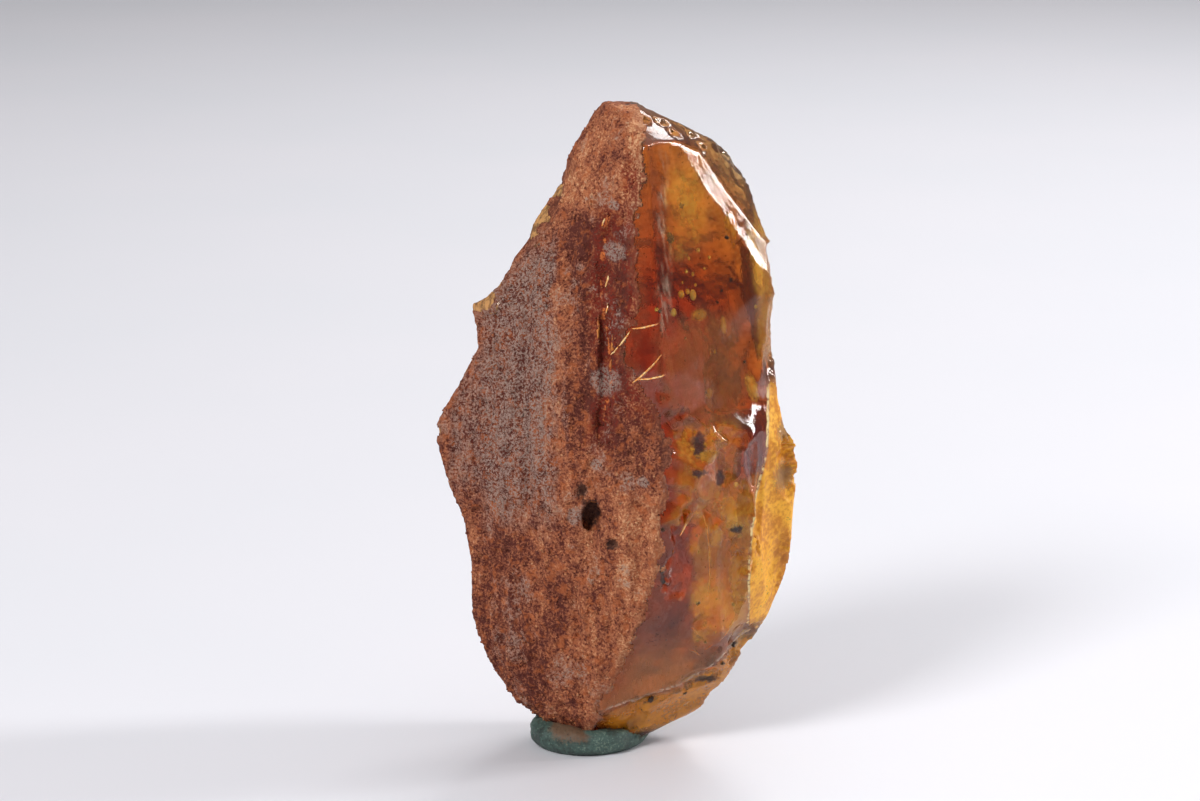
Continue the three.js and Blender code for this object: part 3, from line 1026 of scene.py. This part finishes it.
def rubbedPlaces(s, x, z, front, overRim, noises):
    # the smoky face and its rubbed rim, a painted pale reflection streak down an upright ridge, scars and
    # faint streaks
    slow, fine, lines = noises
    smoky = s.fade(z + x * 0.4 + slow * 2.5, 14.5, 9) * s.fade(overRim, 0, 0.4)
    smoky = smoky * front * (0.75 + lines * 0.5)
    rubbedRim = s.band(overRim, 0.15, 0.02, 0.22) * s.fade(z, 12, 10) * front * s.fade(fine, -0.3, 0.1)
    # painted reflection: a pale streak down the upright ridge
    ridge = s.band(x + slow * 0.6, 5.7, 0.2, 0.7) * s.fade(z, 31, 34) * s.fade(z, 50, 46) * front
    ridge = ridge * s.fade(lines + slow * 0.5, -0.3, 0.5)
    scars = s.band(x, 8, 1, 2) * s.band(z + slow, 25, 2.4, 2) * front * s.fade(slow + lines, -0.1, 0.35)
    streaky = s.band(x, 8.6, 3, 2) * s.band(z, 17, 7, 3) * front * s.fade(lines, 0, 0.35)
    return smoky, rubbedRim, ridge, scars, streaky


def dirtPlaces(s, x, z, front, overRim, noises):
    # specks all over, a dark line just under the smoky face's rim and some patches
    slow, fine, dust = noises
    dirt = s.fade(slow + fine * 0.5, 0.34, 0.5) * s.fade(z, 26, 12) * s.fade(dust, -0.2, 0.2)
    underRim = s.band(overRim, -0.35, 0.15, 0.3) * s.fade(z, 12, 9) * s.fade(fine + slow, -0.1, 0.3)
    dirt = dirt.most(underRim * front * 0.8)
    for dirtX, dirtZ, across, up in amberFinish["dirtPatches"]:
        patch = s.spot(x, z, (dirtX, dirtZ), across, up) + fine * 0.7 + slow * 0.5
        dirt = dirt.most((1 - s.fade(patch, 0.5, 1)) * front)
    return dirt


def goldGlowPlaces(s, axes, front, overRim, noises):
    # painted glow: a golden film that stands in for light shining through thin amber, partly the resin's
    # own cloudy gold just under the skin, on the right flake with a painted highlight along its edge, low
    # down, round the foot, near the top and in the middle
    x, y, z = axes
    slow, fine = noises
    flakeEdge = x - 12.4 - s.fade(z, 17, 27) * 1.4 + slow * 0.3
    flakeSpan = s.band(z, 20, 9, 1.5) * s.fade(y, 2.5, 0)
    flake = s.fade(flakeEdge, -0.1, 0.2) * flakeSpan
    # painted highlight: a bright line along the flake's inner edge
    flakeHighlight = s.band(flakeEdge, 0, 0.03, 0.14) * flakeSpan * s.fade(fine + slow, -0.3, 0.2)
    lowGold = s.band(x + slow, 10.8, 2, 1.8) * s.band(z + slow * 2, 16.5, 5, 3) * front
    footGold = s.fade(overRim, 0, -0.5) * s.fade(z, 1, 2) * s.fade(z, 12, 9)
    footGold = footGold * s.fade(x, 0, 2) * s.fade(y, 3, 1)
    topGold = s.band(x, 7.4, 1, 1.4) * s.band(z + slow, 44, 2.4, 2) * front
    sideGold = s.fade(x + slow * 0.6, 12.2, 13.4) * s.fade(z, 30, 33) * s.fade(y, 3, 1)
    gold = (flake * 0.85).most(lowGold * 0.32).most(footGold * 0.5).most(topGold * 0.2).most(sideGold * 0.3)
    midBrown = s.band(x + slow, 8.4, 2.2, 1.4) * s.band(z + slow, 23.6, 3, 2) * front
    gold = gold.most(midBrown * 0.2) * (0.95 + slow * 0.5 + fine * 0.2)
    return gold.most(flakeHighlight * 0.8), flakeHighlight


def amberMaterial():
    look = amberFinish
    s = Shader("amber")
    place = s.place()
    x, y, z = s.axes(place)
    front = s.fade(y, 1, -1)
    wear = s.value("wear")
    cover = s.value("cover")
    back = s.value("back")
    slow = s.noise(place, 2.4, 3, 0.6)
    fine = s.noise(place, 0.3, 3, 0.6)
    dust = s.noise(place, 0.1, 2, 0.6)
    lines = s.noise(s.stretched(place, (1, 1, 0.06), 12), 0.35, 3, 0.6)
    overRim = z - 3.7 - x * 0.27 - s.fade(x, 7, 13) * 2.4 + slow * 0.3
    worn = wear * s.fade(fine + slow * 0.4, -0.1, 0.35) * s.fade(cover, -0.3, -1)
    stained = s.fade(cover + slow * 0.8, -2.2, -0.2)
    smoky, rubbedRim, ridge, scars, streaky = rubbedPlaces(s, x, z, front, overRim, (slow, fine, lines))
    dirt = dirtPlaces(s, x, z, front, overRim, (slow, fine, dust))
    gold, flakeHighlight = goldGlowPlaces(s, (x, y, z), front, overRim, (slow, fine))
    # grey dust on the flake, and deep orange resin above the ledge
    lowDust = s.fade(s.spot(x, z, (15.1, 22.2), 0.9, 1.2) + dust, 1.1, 0.6)
    highDust = s.fade(s.spot(x, z, (15.2, 26), 0.7, 0.9) + dust, 1.1, 0.6)
    dusted = lowDust.most(highDust) * front
    upperWarm = s.band(x + slow, 8.4, 2.6, 1.6) * s.band(z + slow * 2, 30.4, 3.6, 3) * front
    upperWarm = upperWarm * (0.7 + fine * 0.6 + lines * 0.5)
    film = (smoky * 0.6).most(ridge * 0.42).most(worn * 0.35).most(scars * 0.25).most(streaky * 0.08)
    film = film.most(stained * 0.28).most(upperWarm * 0.42).most(dirt * 0.75).most(rubbedRim * 0.6)
    film = film.most(back * s.fade(slow + fine * 0.6, -0.25, 0.3) * 0.5).most(gold)
    # dull ochre amber where the crust has flaked off on the left
    ochre = s.fade(x, -1, -2) * s.fade(cover, 0.1, -0.1) * (1 - back)
    film = film.most(ochre * 0.85) + s.fade(dust + slow * 0.3, 0.15, 0.4) * 0.03
    colour = s.mix(worn.most(ridge).most(rubbedRim), look["haze"], look["scuffAndSheen"])
    bright = s.fade(slow + fine, -0.3, 0.4) * (0.3 + s.fade(z, 6, 12) * 0.7)
    goldColour = s.mix(bright, look["goldDeep"], look["gold"])
    backColour = s.mix(s.fade(fine + slow, -0.2, 0.3), look["backDark"], look["backSkin"])
    ochreColour = s.mix(s.fade(lines + fine * 0.6, -0.3, 0.3), look["ochreDark"], look["ochre"])
    layers = [(upperWarm, look["deepWarm"]), (s.fade(gold, 0.02, 0.2), goldColour),
              (flakeHighlight, look["goldHighlight"]), (dusted * 0.6, look["goldDust"]), (back, backColour),
              (stained, look["stain"]), (ochre, ochreColour), (dirt, look["dirt"])]
    for mask, layerColour in layers:
        colour = s.mix(mask, colour, layerColour)
    normal = s.bump(lines * 0.5 + fine * 0.5, 0.012, 0.8)
    rough = 0.03 + smoky * 0.3 + worn * 0.25 + back * 0.5
    glass = s.surface({"Base Color": (*look["skin"], 1), "Roughness": rough, "IOR": look["ior"],
                       "Transmission Weight": 1, "Specular IOR Level": look["gloss"], "Normal": normal})
    skin = s.surface({"Base Color": colour, "Roughness": 0.5 + fine * 0.3, "Specular IOR Level": 0.25,
                      "Normal": normal})
    shown = s.node("ShaderNodeMixShader", None, {0: film, 1: glass, 2: skin})
    absorb = {"Color": (*look["absorb"], 1), "Density": look["density"]}
    return s.finish(shown, s.node("ShaderNodeVolumeAbsorption", None, absorb))


def pocketGlowMaterial():
    # painted glow: pale in the middle of each pocket and nothing at its rim
    s = Shader("gas pockets")
    place = s.place()
    cloud = s.noise(place, 0.6, 4, 0.6)
    colour = s.mix(s.fade(cloud, -0.4, 0.3), pockets["gold"], pockets["pale"])
    alpha = s.fade(s.value("core") + cloud * 0.6, 0.1, 0.75) * 0.9
    return s.finish(s.surface({"Base Color": colour, "Roughness": 0.35, "Alpha": alpha}))


def crackGlintMaterial():
    # painted glints: bright orange and pale gold on the crack blades
    s = Shader("crackGlints")
    cloud = s.noise(s.place(), 0.25, 3, 0.6)
    colour = s.mix(s.fade(cloud, -0.2, 0.3), blades["orange"], blades["pale"])
    values = {"Base Color": colour, "Roughness": 0.3 + cloud * 0.2, "Coat Weight": 0.5}
    return s.finish(s.surface(values))


give(amber, amberMaterial())
give(pocketGlows, pocketGlowMaterial())
give(crackGlints, crackGlintMaterial())
speckColours = (scraps["dark"], scraps["pale"])
give(specks, cloudyMaterial("specks", 0.12, 3, (-0.1, 0.4), speckColours, 0.7, 0.03))
for piece in (amber, pocketGlows, crackGlints, specks):
    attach(piece, "root")
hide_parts("amber_piece")
print("amber finished")


def puttyMaterial():
    s = Shader("putty")
    place = s.place()
    x, _, z = s.axes(place)
    slow = s.noise(place, 1.6, 4, 0.6)
    fine = s.noise(place, 0.18, 3, 0.65)
    colour = s.mix(s.fade(slow + fine * 0.4, -0.35, 0.2), putty["dark"], putty["colour"])
    colour = s.mix(s.fade(fine + slow * 0.5, 0.15, 0.4), colour, putty["pale"])
    smear = s.band(x + slow * 2, -1.6, 0.8, 1) * s.fade(z + fine, 1, 1.7)
    colour = s.mix(smear * 0.8, colour, putty["smear"])
    colour = s.mix(s.fade(fine, -0.26, -0.34), colour, putty["speck"])
    normal = s.bump(fine * 0.6 + slow * 0.6, 0.06)
    return s.finish(s.surface({"Base Color": colour, "Roughness": 0.6 + fine * 0.3, "Normal": normal}))


give(puttyDab, puttyMaterial())
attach(puttyDab, "root")
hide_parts("putty_pad")
print("putty finished")

# camera

view = {
    "aim": (0.8, 0, 27.9),  # mm
    "rise": 14,  # degrees
    "distance": 260,  # mm
    "lens": 100,  # mm
}
aim = Vector(view["aim"]) * mm


def lookAt(obj, turn, rise, distance):
    # puts a camera or lamp at a distance from the aim, pointing at it
    out = facingVector(turn, rise)
    obj.location = aim + out * distance * mm
    obj.rotation_euler = (-out).to_track_quat("-Z", "Y").to_euler()
    bpy.context.scene.collection.objects.link(obj)


cameraData = bpy.data.cameras.new("camera")
cameraData.lens = view["lens"]
cameraData.sensor_width = 36
cameraData.clip_start = 0.01
camera = bpy.data.objects.new("camera", cameraData)
lookAt(camera, 0, view["rise"], view["distance"])
bpy.context.scene.camera = camera

# floor and light

studio = {
    "floor": ((0.74, 0.73, 0.77), (0.72, 0.72, 0.76)),
    "world": ((0.85, 0.84, 0.87), 0.26),  # colour and strength
    "lamps": [  # name, turn, rise, distance, width, height, watts
        ("key", -40, 40, 500, 140, 140, 1.75),
        ("window", 100, 24, 500, 54, 320, 1.6),
        ("ceiling", 150, 74, 900, 1000, 1000, 2.0),
        ("backLight", 158, 42, 500, 240, 160, 1.0),
    ],
}

floorBm = bmesh.new()
bmesh.ops.create_grid(floorBm, x_segments=1, y_segments=1, size=3)
floor = newObject("floor", floorBm)
floorShader = Shader("floor")
floorTone = floorShader.noise(floorShader.place(), 60, 2)
floorColour = floorShader.mix(floorShader.fade(floorTone, -0.5, 0.5), *studio["floor"])
give(floor, floorShader.finish(floorShader.surface({"Base Color": floorColour, "Roughness": 0.45})))

world = bpy.data.worlds.new("world")
bpy.context.scene.world = world
world.use_nodes = True
sky = world.node_tree.nodes["Background"]
sky.inputs["Color"].default_value = (*studio["world"][0], 1)
sky.inputs["Strength"].default_value = studio["world"][1]
bpy.context.scene.view_settings.view_transform = "Standard"

for name, turn, rise, distance, width, height, watts in studio["lamps"]:
    light = bpy.data.lights.new(name, "AREA")
    light.shape = "RECTANGLE"
    light.size, light.size_y = width * mm, height * mm
    light.energy = watts
    lookAt(bpy.data.objects.new(name, light), turn, rise, distance)
print("stage set")
